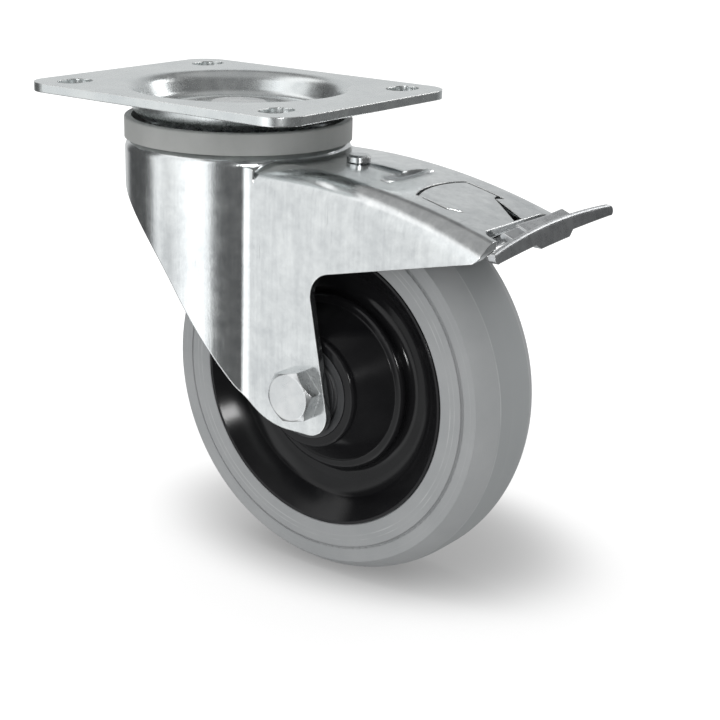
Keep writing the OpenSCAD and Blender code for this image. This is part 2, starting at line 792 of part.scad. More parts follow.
module pedal() {
    pin_at = sqrt(pow(pedal_x - trail, 2) + pow(pedal_up, 2));
    lean = atan2(pedal_up, pedal_x - trail) - shoe_angle;
    color("#b8bcbe") difference() {
        union() {
            across(neck_w) neck_side();
            crooked() across(shoulder_w) shoulder_side();
            translate([pedal_x, 0, pedal_z]) rotate([90, 0, 0])
                cylinder(r = boss_r, h = 2 * boss_y, center = true);
            crooked() blade();
            // Arm that carries the brake shoe
            at_shoe() translate([shoe_back, -shoe_w / 2, -shoe_l / 2])
                cube([2.5, shoe_w, pin_at * sin(lean) + shoe_l / 2]);
        }
        translate([pedal_x, 0, pedal_z]) rotate([90, 0, 0])
            cylinder(r = pin_r + run_gap, h = 2 * boss_y + 2, center = true);
    }
}

module brake_shoe() {
    color("#2f3133") difference() {
        at_shoe() translate([wheel_r - 4, -shoe_w / 2, -shoe_l / 2])
            cube([shoe_back - wheel_r + 4, shoe_w, shoe_l]);
        // The face fits the tread when the pedal is down
        translate([pedal_x, 0, pedal_z]) rotate([0, -pedal_travel, 0])
            translate([trail - pedal_x, 0, axle_z - pedal_z]) rotate([90, 0, 0])
                cylinder(r = wheel_r + free_gap, h = big, center = true, $fn = 180);
    }
}

// Side view of the lock lever, its upper edge close under the crown and the roof
module lever_side() {
    half = lever_t / 2;
    front = [lock_ring_r - 4.6 + half, crown_under_z - 1 - half];
    shelf = [roof_x0 - 12, front[1]];
    step = [roof_x0 - 5.5, roof_under_z - 0.5 - half];
    rise = [trail + 3, roof_under_z - roof_drop(trail + 3) - 0.4 - half];
    knee = [trail + 12.5, roof_under_z - roof_drop(trail + 12.5) - 0.5 - half];
    rock = [rocker_x, roof_under_z - roof_drop(rocker_x) - ridge_h - free_gap - half];
    rear = [pedal_x - 4.6, pedal_z + 5.3];
    strip(front, shelf, lever_t);
    strip(shelf, step, lever_t);
    strip(step, rise, lever_t);
    strip(rise, knee, lever_t);
    strip(knee, rock, lever_t);
    strip(rock, rear, lever_t);
}

module lock_lever() {
    tip_x = lock_ring_r - 4.6;
    tooth_z = lock_top_z + 0.4;
    color("#a9adaf") union() {
        across(lever_w) lever_side();
        translate([tip_x, -lever_tooth_w / 2, tooth_z])
            cube([3.6, lever_tooth_w, crown_under_z - 1.4 - tooth_z]);
    }
}

top_plate();
king_pin();
lock_ring();
fork();
seal_ring();
upper_balls();
lower_balls();
roof_rivet();
axle_bolt();
axle_nut();
axle_washer();
axle_tube();
bearing_inner_rings();
tyre();
rim();
bearing_outer_rings();
bearing_balls();
bearing_seals();
hub_covers();
pedal_pin();
return_spring();
pedal();
brake_shoe();
lock_lever();
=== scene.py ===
import math

import bpy
from mathutils import Matrix, Vector


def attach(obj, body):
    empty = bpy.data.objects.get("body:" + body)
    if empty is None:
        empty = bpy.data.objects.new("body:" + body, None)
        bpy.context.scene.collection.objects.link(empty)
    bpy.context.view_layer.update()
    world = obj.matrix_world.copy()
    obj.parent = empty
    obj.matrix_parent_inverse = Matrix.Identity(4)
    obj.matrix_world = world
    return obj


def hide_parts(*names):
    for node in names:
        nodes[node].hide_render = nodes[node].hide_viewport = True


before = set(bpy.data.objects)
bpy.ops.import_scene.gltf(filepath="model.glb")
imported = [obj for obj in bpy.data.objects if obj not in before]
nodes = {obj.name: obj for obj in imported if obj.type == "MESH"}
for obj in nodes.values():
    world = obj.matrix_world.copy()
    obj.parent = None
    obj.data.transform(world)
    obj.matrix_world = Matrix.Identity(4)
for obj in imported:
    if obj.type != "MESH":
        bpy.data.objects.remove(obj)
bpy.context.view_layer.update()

# where things are, in metres, as the solids have them
castor = {
    "axleX": 0.059,
    "axleZ": -0.109997,
    "floorZ": -0.189,
    "wheelRadius": 0.079,
    "pedalX": 0.113,
    "pedalZ": -0.040497,
}


def deselectAll():
    if bpy.context.object and bpy.context.object.mode != "OBJECT":
        bpy.ops.object.mode_set(mode="OBJECT")
    bpy.ops.object.select_all(action="DESELECT")


# small helpers for the materials
def feed(tree, socket, value):
    # a number or a colour is written into the socket, and anything else is linked to it
    if isinstance(value, (int, float)):
        socket.default_value = value
    elif isinstance(value, tuple):
        socket.default_value = (*value, 1)
    else:
        tree.links.new(value, socket)


def mathNode(tree, operation, *values, clamp=False):
    node = tree.nodes.new("ShaderNodeMath")
    node.operation = operation
    node.use_clamp = clamp
    for socket, value in zip(node.inputs, values):
        feed(tree, socket, value)
    return node.outputs[0]


def times(tree, a, b):
    return mathNode(tree, "MULTIPLY", a, b)


def plusShare(tree, value, extra, share, clamp=False):
    # value + extra * share
    return mathNode(tree, "ADD", value, times(tree, extra, share), clamp=clamp)


def apart(tree, a, b):
    return mathNode(tree, "ABSOLUTE", mathNode(tree, "SUBTRACT", a, b))


def mapRange(tree, value, low, high, outLow=0.0, outHigh=1.0):
    node = tree.nodes.new("ShaderNodeMapRange")
    for socket, given in zip(node.inputs, (value, low, high, outLow, outHigh)):
        feed(tree, socket, given)
    return node.outputs[0]


def inside(tree, distance, edge, soft):
    # 1 up to the edge, and down to 0 over the soft width
    return mapRange(tree, distance, edge, edge + soft, 1.0, 0.0)


def mixColour(tree, factor, a, b, blend="MIX"):
    node = tree.nodes.new("ShaderNodeMix")
    node.data_type = "RGBA"
    node.blend_type = blend
    for i, value in ((0, factor), (6, a), (7, b)):
        feed(tree, node.inputs[i], value)
    return node.outputs[2]


def paint(tree, colour, mask, share, newColour):
    # another colour where the mask is, as strong as share says
    return mixColour(tree, times(tree, mask, share), colour, newColour)


def noise(tree, vector, scale, detail, rough):
    node = tree.nodes.new("ShaderNodeTexNoise")
    for name, value in (("Vector", vector), ("Scale", scale), ("Detail", detail), ("Roughness", rough)):
        feed(tree, node.inputs[name], value)
    return node.outputs["Fac"]


def stretched(tree, vector, scale, rotation=(0, 0, 0)):
    node = tree.nodes.new("ShaderNodeMapping")
    tree.links.new(vector, node.inputs["Vector"])
    node.inputs["Scale"].default_value = scale
    node.inputs["Rotation"].default_value = rotation
    return node.outputs["Vector"]


def lengthOf(tree, vector):
    node = tree.nodes.new("ShaderNodeVectorMath")
    node.operation = "LENGTH"
    tree.links.new(vector, node.inputs[0])
    return node.outputs["Value"]


def axesOf(tree, vector):
    node = tree.nodes.new("ShaderNodeSeparateXYZ")
    tree.links.new(vector, node.inputs[0])
    return node.outputs


def fromLine(tree, first, second, centre):
    # distance from a line along the third axis, given two of the axes and the line's place on them
    first = mathNode(tree, "SUBTRACT", first, centre[0])
    second = mathNode(tree, "SUBTRACT", second, centre[1])
    squares = mathNode(tree, "ADD", times(tree, first, first), times(tree, second, second))
    return mathNode(tree, "SQRT", squares)


# effects that several finishes share
def newGroup(name, inputs, outputs):
    tree = bpy.data.node_groups.new(name, "ShaderNodeTree")
    for inOut, sockets in (("INPUT", inputs), ("OUTPUT", outputs)):
        for socketName, kind in sockets.items():
            tree.interface.new_socket(name=socketName, in_out=inOut, socket_type="NodeSocket" + kind)
    given = tree.nodes.new("NodeGroupInput").outputs
    out = tree.nodes.new("NodeGroupOutput").inputs
    return tree, given, out


def groupNode(tree, group, **values):
    node = tree.nodes.new("ShaderNodeGroup")
    node.node_tree = group
    for name, value in values.items():
        feed(tree, node.inputs[name.replace("_", " ")], value)
    return node.outputs


zincPattern = {
    # scale, detail and roughness of each noise
    "clouds": (38.0, 4.0, 0.6),
    "mottle": (210.0, 3.0, 0.55),
    "grain": (1500.0, 2.0, 0.6),
    "drawn": (1.0, 4.0, 0.65),
    # the middle of the draw marks, and the tones that become dark and light
    "drawnMiddle": 0.5,
    "darkAt": 0.34,
    "lightAt": 0.66,
    # tiny bright specks, from where in the grain and how strong
    "speckFrom": 0.62,
    "speckFull": 0.74,
    "speckAmount": 0.22,
    "speckColour": (0.93, 0.94, 0.94),
    # how much each noise counts
    "toneOf": {"clouds": 0.55, "mottle": 0.45},
    "roughOf": {"mottle": 0.13, "grain": 0.08, "drawn": 0.1},
    "heightOf": {"grain": 0.35, "mottle": 0.8, "drawn": 1.6},
}


def makeZincGroup():
    # bright zinc: cloudy tone, draw marks along one direction, fine grain and small dents
    tree, given, out = newGroup(
        "zincFinish",
        {"Vector": "Vector", "Drawn Vector": "Vector", "Light": "Color", "Dark": "Color",
         "Drawn Amount": "Float", "Base Roughness": "Float"},
        {"Color": "Color", "Roughness": "Float", "Height": "Float"})
    clouds = noise(tree, given["Vector"], *zincPattern["clouds"])
    mottle = noise(tree, given["Vector"], *zincPattern["mottle"])
    grain = noise(tree, given["Vector"], *zincPattern["grain"])
    drawn = noise(tree, given["Drawn Vector"], *zincPattern["drawn"])
    drawnShift = mathNode(tree, "SUBTRACT", drawn, zincPattern["drawnMiddle"])
    drawnShift = times(tree, drawnShift, given["Drawn Amount"])

    share = zincPattern["toneOf"]
    tone = plusShare(tree, times(tree, clouds, share["clouds"]), mottle, share["mottle"])
    tone = mathNode(tree, "ADD", tone, drawnShift)
    tone = mapRange(tree, tone, zincPattern["darkAt"], zincPattern["lightAt"])
    colour = mixColour(tree, tone, given["Dark"], given["Light"])
    specks = mapRange(tree, grain, zincPattern["speckFrom"], zincPattern["speckFull"],
                      0.0, zincPattern["speckAmount"])
    colour = mixColour(tree, specks, colour, zincPattern["speckColour"])

    share = zincPattern["roughOf"]
    rough = plusShare(tree, given["Base Roughness"], mottle, share["mottle"])
    rough = plusShare(tree, rough, grain, share["grain"])
    rough = plusShare(tree, rough, drawnShift, share["drawn"], clamp=True)

    share = zincPattern["heightOf"]
    height = plusShare(tree, times(tree, grain, share["grain"]), mottle, share["mottle"])
    height = plusShare(tree, height, drawnShift, share["drawn"])

    tree.links.new(colour, out["Color"])
    tree.links.new(rough, out["Roughness"])
    tree.links.new(height, out["Height"])
    return tree


# how alike the rounded and the face's own normal are on a plain face and on an edge
edgePattern = {"samples": 6, "plain": 0.99, "edge": 0.86}


def makeEdgeGroup():
    # soft edge: a rounded normal and a mask that is 1 on an edge
    tree, given, out = newGroup("softEdge", {"Radius": "Float"}, {"Edge": "Float", "Normal": "Vector"})
    bevel = tree.nodes.new("ShaderNodeBevel")
    bevel.samples = edgePattern["samples"]
    tree.links.new(given["Radius"], bevel.inputs["Radius"])
    geometry = tree.nodes.new("ShaderNodeNewGeometry")
    dot = tree.nodes.new("ShaderNodeVectorMath")
    dot.operation = "DOT_PRODUCT"
    tree.links.new(bevel.outputs[0], dot.inputs[0])
    tree.links.new(geometry.outputs["Normal"], dot.inputs[1])
    edge = mapRange(tree, dot.outputs["Value"], edgePattern["plain"], edgePattern["edge"])
    tree.links.new(edge, out["Edge"])
    tree.links.new(bevel.outputs[0], out["Normal"])
    return tree


scratchPattern = {
    # turn and stretch of each of the three directions
    "directions": [(0.4, (900, 60, 60)), (1.9, (1100, 45, 50)), (-0.7, (800, 70, 40))],
    "sideTurn": 0.6,
    "noise": (1.0, 2.0, 0.5),
    "from": 0.735,
    "full": 0.77,
}


def makeScratchGroup():
    # a few thin curved scratches
    tree, given, out = newGroup(
        "fineScratches", {"Vector": "Vector", "Amount": "Float"}, {"Scratch": "Float"})
    total = None
    for turn, stretch in scratchPattern["directions"]:
        along = stretched(tree, given["Vector"], stretch, (turn, turn * scratchPattern["sideTurn"], turn))
        lines = noise(tree, along, *scratchPattern["noise"])
        thin = mapRange(tree, lines, scratchPattern["from"], scratchPattern["full"])
        total = thin if total is None else mathNode(tree, "MAXIMUM", total, thin)
    total = mathNode(tree, "MULTIPLY", total, given["Amount"], clamp=True)
    tree.links.new(total, out["Scratch"])
    return tree


ringPattern = {"gapNoise": (70.0, 3.0, 0.6), "gapFrom": 0.42, "gapFull": 0.6}


def makeRingGroup():
    # a fine line at one distance from an axis or plane, broken here and there
    tree, given, out = newGroup(
        "ringLine",
        {"Vector": "Vector", "Distance": "Float", "Radius": "Float", "Width": "Float", "Broken": "Float"},
        {"Line": "Float"})
    away = apart(tree, given["Distance"], given["Radius"])
    line = mapRange(tree, away, 0.0, given["Width"], 1.0, 0.0)
    gaps = noise(tree, given["Vector"], *ringPattern["gapNoise"])
    gaps = mapRange(tree, gaps, ringPattern["gapFrom"], ringPattern["gapFull"])
    keep = mathNode(tree, "SUBTRACT", 1.0, times(tree, gaps, given["Broken"]))
    tree.links.new(mathNode(tree, "MULTIPLY", line, keep, clamp=True), out["Line"])
    return tree


zincGroup = makeZincGroup()
edgeGroup = makeEdgeGroup()
scratchGroup = makeScratchGroup()
ringGroup = makeRingGroup()


def newMaterial(name):
    material = bpy.data.materials.new(name)
    material.use_nodes = True
    tree = material.node_tree
    coords = tree.nodes.new("ShaderNodeTexCoord")
    return material, tree, tree.nodes["Principled BSDF"].inputs, coords.outputs["Object"]


def bumped(tree, height, strength, depth, normal):
    node = tree.nodes.new("ShaderNodeBump")
    node.inputs["Strength"].default_value = strength
    node.inputs["Distance"].default_value = depth
    tree.links.new(height, node.inputs["Height"])
    tree.links.new(normal, node.inputs["Normal"])
    return node.outputs["Normal"]


# painted shade: the colour of the T pressed into the roof of the fork is darkened, standing in for the shade
# in its recess
paintedShadeT = {
    "barX": 0.084,
    "stemX": 0.0735,
    "stemHalf": 0.0105,
    "reach": 0.0105,
    "half": 0.0022,
    "soft": 0.0028,
    "above": -0.0275,
    "shade": 0.9,
    "colour": (0.34, 0.35, 0.36),
}


# paints shade into the colour over the bar and the stem of the pressed T, on the upper side of the roof
# alone
def paintShadeOnT(tree, where, colour):
    axes = axesOf(tree, where)
    across = mathNode(tree, "ABSOLUTE", axes["Y"])
    fromBar = apart(tree, axes["X"], paintedShadeT["barX"])
    fromStem = apart(tree, axes["X"], paintedShadeT["stemX"])
    soft = paintedShadeT["soft"]
    bar = times(tree, inside(tree, fromBar, paintedShadeT["half"], soft),
                inside(tree, across, paintedShadeT["reach"], soft))
    stem = times(tree, inside(tree, across, paintedShadeT["half"], soft),
                 inside(tree, fromStem, paintedShadeT["stemHalf"], soft))
    shade = times(tree, mathNode(tree, "MAXIMUM", bar, stem), paintedShadeT["shade"])
    shade = times(tree, shade, mathNode(tree, "GREATER_THAN", axes["Z"], paintedShadeT["above"]))
    return mixColour(tree, shade, colour, paintedShadeT["colour"], "MULTIPLY")


# lines pressed into the plate's dish, each with its radius, width and height
dishLines = {"lines": [(0.0238, 0.0007, 1.6), (0.0205, 0.0005, 1.2), (0.0172, 0.0006, -1.2)], "broken": 0.25}


def addDishLines(tree, where, height):
    axes = axesOf(tree, where)
    distance = fromLine(tree, axes["X"], axes["Y"], (0, 0))
    for radius, width, depth in dishLines["lines"]:
        ring = groupNode(tree, ringGroup, Vector=where, Distance=distance, Radius=radius, Width=width,
                         Broken=dishLines["broken"])
        height = plusShare(tree, height, ring["Line"], depth)
    return height


# the bolt's thread starts just inside the nut
boltThread = {"fromY": 0.0456, "pitch": 0.0012, "height": 4.0}


def addThread(tree, where, height):
    along = axesOf(tree, where)["Y"]
    wave = mathNode(tree, "SINE", times(tree, along, 2 * math.pi / boltThread["pitch"]))
    onThread = mathNode(tree, "GREATER_THAN", along, boltThread["fromY"])
    return plusShare(tree, height, times(tree, wave, onThread), boltThread["height"])


# painted highlight colour for edges, scratch colour and share, and bump depth
zincShared = {
    "edgeHighlightColour": (0.95, 0.95, 0.94),
    "scratchColour": (0.3, 0.31, 0.32),
    "scratchShare": 0.5,
    "bumpDepth": 0.0004,
}


def zincMaterial(name, look):
    material, tree, shader, where = newMaterial(name)
    drawn = stretched(tree, where, look["drawnScale"])
    zinc = groupNode(tree, zincGroup, Vector=where, Drawn_Vector=drawn, Light=look["light"],
                     Dark=look["dark"], Drawn_Amount=look["drawnAmount"], Base_Roughness=look["rough"])
    edge = groupNode(tree, edgeGroup, Radius=look["edgeRadius"])
    scratch = groupNode(tree, scratchGroup, Vector=where, Amount=look["scratches"])["Scratch"]
    # painted highlight on the edges, then darker scratches
    colour = paint(tree, zinc["Color"], edge["Edge"], look["edgeHighlightShare"], zincShared["edgeHighlightColour"])
    colour = paint(tree, colour, scratch, zincShared["scratchShare"], zincShared["scratchColour"])
    height = mathNode(tree, "SUBTRACT", zinc["Height"], scratch)
    marks = look.get("marks")
    if marks == "dishLines":
        height = addDishLines(tree, where, height)
    # painted shade over the pressed T
    if marks == "paintedShadeT":
        colour = paintShadeOnT(tree, where, colour)
    if marks == "thread":
        height = addThread(tree, where, height)
    normal = bumped(tree, height, look["bump"], zincShared["bumpDepth"], edge["Normal"])
    tree.links.new(colour, shader["Base Color"])
    tree.links.new(zinc["Roughness"], shader["Roughness"])
    tree.links.new(normal, shader["Normal"])
    shader["Metallic"].default_value = 1.0
    return material


tyreMarks = {
    # moulded rings on the side, each with its radius, width, shine and height
    "rings": [(0.0618, 0.0003, 0.55, 0.6), (0.0637, 0.00025, 0.45, 0.5), (0.0705, 0.0002, 0.2, 0.4)],
    "ringColour": (0.62, 0.63, 0.63),
    "ringBroken": 0.85,
    # the running band is a little darker, with a fine moulded line on both sides
    "treadDepth": 0.004,
    "bandEdge": 0.0105,
    "bandSoft": 0.0006,
    "bandShare": 0.8,
    "bandColour": (0.315, 0.33, 0.335),
    "seamWidth": 0.0004,
    "seamBroken": 0.6,
    "seamShare": 0.45,
    "seamHeight": 2.0,
}


def addTyreMarks(tree, where, colour, height):
    axes = axesOf(tree, where)
    distance = fromLine(tree, axes["X"], axes["Z"], (castor["axleX"], castor["axleZ"]))
    for radius, width, shine, depth in tyreMarks["rings"]:
        ring = groupNode(tree, ringGroup, Vector=where, Distance=distance, Radius=radius, Width=width,
                         Broken=tyreMarks["ringBroken"])
        colour = paint(tree, colour, ring["Line"], shine, tyreMarks["ringColour"])
        height = plusShare(tree, height, ring["Line"], depth)
    fromMiddle = mathNode(tree, "ABSOLUTE", axes["Y"])
    onTread = mathNode(tree, "GREATER_THAN", distance, castor["wheelRadius"] - tyreMarks["treadDepth"])
    band = times(tree, inside(tree, fromMiddle, tyreMarks["bandEdge"], tyreMarks["bandSoft"]), onTread)
    colour = paint(tree, colour, band, tyreMarks["bandShare"], tyreMarks["bandColour"])
    seam = groupNode(tree, ringGroup, Vector=where, Distance=fromMiddle, Radius=tyreMarks["bandEdge"],
                     Width=tyreMarks["seamWidth"], Broken=tyreMarks["seamBroken"])
    seamLine = times(tree, seam["Line"], onTread)
    colour = paint(tree, colour, seamLine, tyreMarks["seamShare"], tyreMarks["ringColour"])
    height = plusShare(tree, height, seamLine, tyreMarks["seamHeight"])
    return colour, height


# detail and roughness of both noises, the tones that become dark and light, and the bump
plasticShared = {
    "clouds": (4.0, 0.6),
    "grain": (2.0, 0.6),
    "darkAt": 0.35,
    "lightAt": 0.65,
    "cloudHeight": 0.6,
    "bumpDepth": 0.0003,
}


def plasticMaterial(name, look):
    # moulded plastic and rubber: slight tone change, fine grain, soft edges
    material, tree, shader, where = newMaterial(name)
    clouds = noise(tree, where, look["cloudScale"], *plasticShared["clouds"])
    grain = noise(tree, where, look["grainScale"], *plasticShared["grain"])
    tone = mapRange(tree, clouds, plasticShared["darkAt"], plasticShared["lightAt"])
    colour = mixColour(tree, tone, look["dark"], look["light"])
    edge = groupNode(tree, edgeGroup, Radius=look["edgeRadius"])
    # painted highlight on the edges
    colour = paint(tree, colour, edge["Edge"], look["edgeHighlightShare"], look["edgeHighlightColour"])
    rough = mathNode(tree, "ADD", times(tree, clouds, look["roughSpread"]), look["rough"])
    height = plusShare(tree, grain, clouds, plasticShared["cloudHeight"])
    if look.get("marks") == "tyreMarks":
        colour, height = addTyreMarks(tree, where, colour, height)
    normal = bumped(tree, height, look["bump"], plasticShared["bumpDepth"], edge["Normal"])
    tree.links.new(colour, shader["Base Color"])
    tree.links.new(rough, shader["Roughness"])
    tree.links.new(normal, shader["Normal"])
    shader["Specular IOR Level"].default_value = look["specular"]
    return material


zincLooks = {
    "plateZinc": {
        "light": (0.82, 0.845, 0.84), "dark": (0.66, 0.69, 0.70),
        "drawnScale": (30, 30, 30), "drawnAmount": 0.1, "rough": 0.17,
        "edgeRadius": 0.0007, "edgeHighlightShare": 0.8, "scratches": 0.4, "bump": 0.10, "marks": "dishLines",
    },
    "forkZinc": {
        "light": (0.84, 0.86, 0.86), "dark": (0.62, 0.64, 0.65),
        "drawnScale": (260, 260, 16), "drawnAmount": 0.45, "rough": 0.08,
        "edgeRadius": 0.0006, "edgeHighlightShare": 0.8, "scratches": 0.5, "bump": 0.10, "marks": "paintedShadeT",
    },
    "smallPartsZinc": {
        "light": (0.82, 0.83, 0.83), "dark": (0.62, 0.64, 0.65),
        "drawnScale": (90, 90, 90), "drawnAmount": 0.2, "rough": 0.16,
        "edgeRadius": 0.0004, "edgeHighlightShare": 0.7, "scratches": 0.4, "bump": 0.12,
    },
    "boltZinc": {
        "light": (0.80, 0.81, 0.81), "dark": (0.60, 0.62, 0.63),
        "drawnScale": (90, 90, 90), "drawnAmount": 0.2, "rough": 0.18,
        "edgeRadius": 0.0005, "edgeHighlightShare": 0.7, "scratches": 0.5, "bump": 0.14, "marks": "thread",
    },
    "pedalZinc": {
        "light": (0.62, 0.63, 0.64), "dark": (0.42, 0.43, 0.44),
        "drawnScale": (60, 200, 60), "drawnAmount": 0.3, "rough": 0.18,
        "edgeRadius": 0.0005, "edgeHighlightShare": 0.9, "scratches": 0.6, "bump": 0.10,
    },
    "hardSteel": {
        "light": (0.42, 0.42, 0.42), "dark": (0.24, 0.24, 0.25),
        "drawnScale": (90, 90, 90), "drawnAmount": 0.2, "rough": 0.3,
        "edgeRadius": 0.0003, "edgeHighlightShare": 0.5, "scratches": 0.3, "bump": 0.15,
    },
    "bearingSteel": {
        "light": (0.82, 0.82, 0.82), "dark": (0.6, 0.6, 0.61),
        "drawnScale": (60, 60, 60), "drawnAmount": 0.1, "rough": 0.07,
        "edgeRadius": 0.0003, "edgeHighlightShare": 0.5, "scratches": 0.1, "bump": 0.04,
    },
}
plasticLooks = {
    "sealPlastic": {
        "light": (0.42, 0.43, 0.42), "dark": (0.37, 0.38, 0.37), "cloudScale": 60, "grainScale": 1400,
        "edgeRadius": 0.0005, "edgeHighlightShare": 0.35, "edgeHighlightColour": (0.45, 0.46, 0.45),
        "rough": 0.36, "roughSpread": 0.16, "bump": 0.12, "specular": 0.5,
    },
    "tyreRubber": {
        "light": (0.385, 0.395, 0.40), "dark": (0.345, 0.357, 0.363), "cloudScale": 34, "grainScale": 1800,
        "edgeRadius": 0.0006, "edgeHighlightShare": 0.25, "edgeHighlightColour": (0.42, 0.42, 0.43),
        "rough": 0.48, "roughSpread": 0.16, "bump": 0.14, "specular": 0.4, "marks": "tyreMarks",
    },
    "rimNylon": {
        "light": (0.013, 0.013, 0.014), "dark": (0.008, 0.008, 0.009), "cloudScale": 45, "grainScale": 900,
        "edgeRadius": 0.0008, "edgeHighlightShare": 0.3, "edgeHighlightColour": (0.05, 0.05, 0.052),
        "rough": 0.12, "roughSpread": 0.06, "bump": 0.03, "specular": 0.25,
    },
    "hubCoverPlastic": {
        "light": (0.035, 0.036, 0.038), "dark": (0.022, 0.023, 0.025), "cloudScale": 80, "grainScale": 1500,
        "edgeRadius": 0.0005, "edgeHighlightShare": 0.35, "edgeHighlightColour": (0.09, 0.09, 0.095),
        "rough": 0.36, "roughSpread": 0.15, "bump": 0.1, "specular": 0.5,
    },
    "blackRubber": {
        "light": (0.03, 0.03, 0.031), "dark": (0.018, 0.018, 0.019), "cloudScale": 90, "grainScale": 1600,
        "edgeRadius": 0.0005, "edgeHighlightShare": 0.3, "edgeHighlightColour": (0.07, 0.07, 0.07),
        "rough": 0.6, "roughSpread": 0.2, "bump": 0.25, "specular": 0.4,
    },
    "nutNylon": {
        "light": (0.62, 0.63, 0.60), "dark": (0.54, 0.55, 0.52), "cloudScale": 120, "grainScale": 1500,
        "edgeRadius": 0.0003, "edgeHighlightShare": 0.2, "edgeHighlightColour": (0.7, 0.7, 0.68),
        "rough": 0.4, "roughSpread": 0.12, "bump": 0.1, "specular": 0.5,
    },
}
finishes = {name: zincMaterial(name, look) for name, look in zincLooks.items()}
finishes.update({name: plasticMaterial(name, look) for name, look in plasticLooks.items()})

solidsIn = {
    "plateZinc": ["top_plate"],
    "forkZinc": ["fork"],
    "smallPartsZinc": ["king_pin", "roof_rivet", "axle_nut", "axle_washer", "pedal_pin"],
    "boltZinc": ["axle_bolt"],
    "pedalZinc": ["pedal", "lock_lever"],
    "hardSteel": ["lock_ring", "axle_tube", "return_spring"],
    "bearingSteel": ["upper_balls", "lower_balls", "bearing_inner_rings", "bearing_outer_rings",
                     "bearing_balls"],
    "sealPlastic": ["seal_ring"],
    "tyreRubber": ["tyre"],
    "rimNylon": ["rim"],
    "hubCoverPlastic": ["hub_covers"],
    "blackRubber": ["bearing_seals", "brake_shoe"],
}
for finish, names in solidsIn.items():
    for name in names:
        materials = nodes[name].data.materials
        materials.clear()
        materials.append(finishes[finish])
print("materials on", sum(len(names) for names in solidsIn.values()), "solids")

# pieces that are finer than their solids
meshCare = {"mergeWithin": 0.000002, "smoothAngle": 40}


def settle(piece, finish):
    # normals outwards, smooth shading, and the piece's place moved into its mesh
    deselectAll()
    piece.select_set(True)
    bpy.context.view_layer.objects.active = piece
    bpy.ops.object.mode_set(mode="EDIT")
    bpy.ops.mesh.select_all(action="SELECT")
    bpy.ops.mesh.remove_doubles(threshold=meshCare["mergeWithin"])
    bpy.ops.mesh.normals_make_consistent(inside=False)
    bpy.ops.object.mode_set(mode="OBJECT")
    bpy.ops.object.transform_apply(location=True, rotation=True, scale=True)
    bpy.ops.object.shade_smooth_by_angle(angle=math.radians(meshCare["smoothAngle"]))
    piece.data.materials.clear()
    piece.data.materials.append(finishes[finish])


def openPoints(piece):
    # numbers of the points on free edges
    used = {}
    for polygon in piece.data.polygons:
        for key in polygon.edge_keys:
            used[key] = used.get(key, 0) + 1
    return {i for key, count in used.items() if count == 1 for i in key}


def selectOpenPoints(piece, test):
    # selects the points on free edges that pass the test, and goes back to edit mode
    bpy.ops.object.mode_set(mode="EDIT")
    bpy.ops.mesh.select_all(action="DESELECT")
    bpy.ops.mesh.select_mode(type="VERT")
    bpy.ops.object.mode_set(mode="OBJECT")
    for i in openPoints(piece):
        piece.data.vertices[i].select = test(piece.data.vertices[i].co)
    bpy.ops.object.mode_set(mode="EDIT")


spring = {
    "wire": 0.00046,
    "wireSides": 14,
    "coil": 0.0042,
    "firstY": 0.0144,
    "pitch": 0.00096,
    "turns": 2,
    "stepsPerTurn": 40,
    "legs": 0.0088,
    "legDrop": 0.0009,
    "bentEnd": 0.0012,
    "bentOut": 0.0003,
}


def addSpring():
    # the section of the wire stands over the pin and is wound round it
    deselectAll()
    bpy.ops.mesh.primitive_circle_add(vertices=spring["wireSides"], radius=spring["wire"],
                                      location=(castor["pedalX"], spring["firstY"], castor["pedalZ"]),
                                      rotation=(0, math.pi / 2, 0))
    piece = bpy.context.object
    piece.name = "pedalSpring"
    bpy.ops.object.transform_apply(location=False, rotation=True, scale=False)
    bpy.ops.object.mode_set(mode="EDIT")
    bpy.ops.mesh.select_all(action="SELECT")
    bpy.ops.transform.translate(value=(0, 0, spring["coil"]))
    bpy.ops.object.mode_set(mode="OBJECT")
    winding = piece.modifiers.new("winding", "SCREW")
    winding.axis = "Y"
    winding.angle = -2 * math.pi
    winding.screw_offset = spring["pitch"]
    winding.iterations = spring["turns"]
    winding.steps = spring["stepsPerTurn"]
    winding.render_steps = spring["stepsPerTurn"]
    bpy.ops.object.modifier_apply(modifier="winding")
    lastY = spring["pitch"] * spring["turns"]
    # a little more than the wire's own radius
    nearEnd = spring["wire"] * 1.05
    # straight legs from both ends of the winding, each with a short bend at its tip
    for ringY, way in ((0.0, 1), (lastY, -1)):
        leg = (way * spring["legs"], 0, -way * spring["legDrop"])
        tip = (way * spring["bentOut"], 0, -spring["bentEnd"])
        selectOpenPoints(piece, lambda co: abs(co.y - ringY) < nearEnd)
        bpy.ops.mesh.extrude_region_move(TRANSFORM_OT_translate={"value": leg})
        bpy.ops.mesh.extrude_region_move(TRANSFORM_OT_translate={"value": tip})
        bpy.ops.mesh.edge_face_add()
        bpy.ops.object.mode_set(mode="OBJECT")
    settle(piece, "hardSteel")
    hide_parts("return_spring")
    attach(piece, "swivel_fork")


nylonRing = {
    "nutEnd": 0.0455,
    "radius": 0.00695,
    "thick": 0.00075,
    "proud": 0.00022,
    "stepsRound": 72,
    "stepsSection": 16,
}


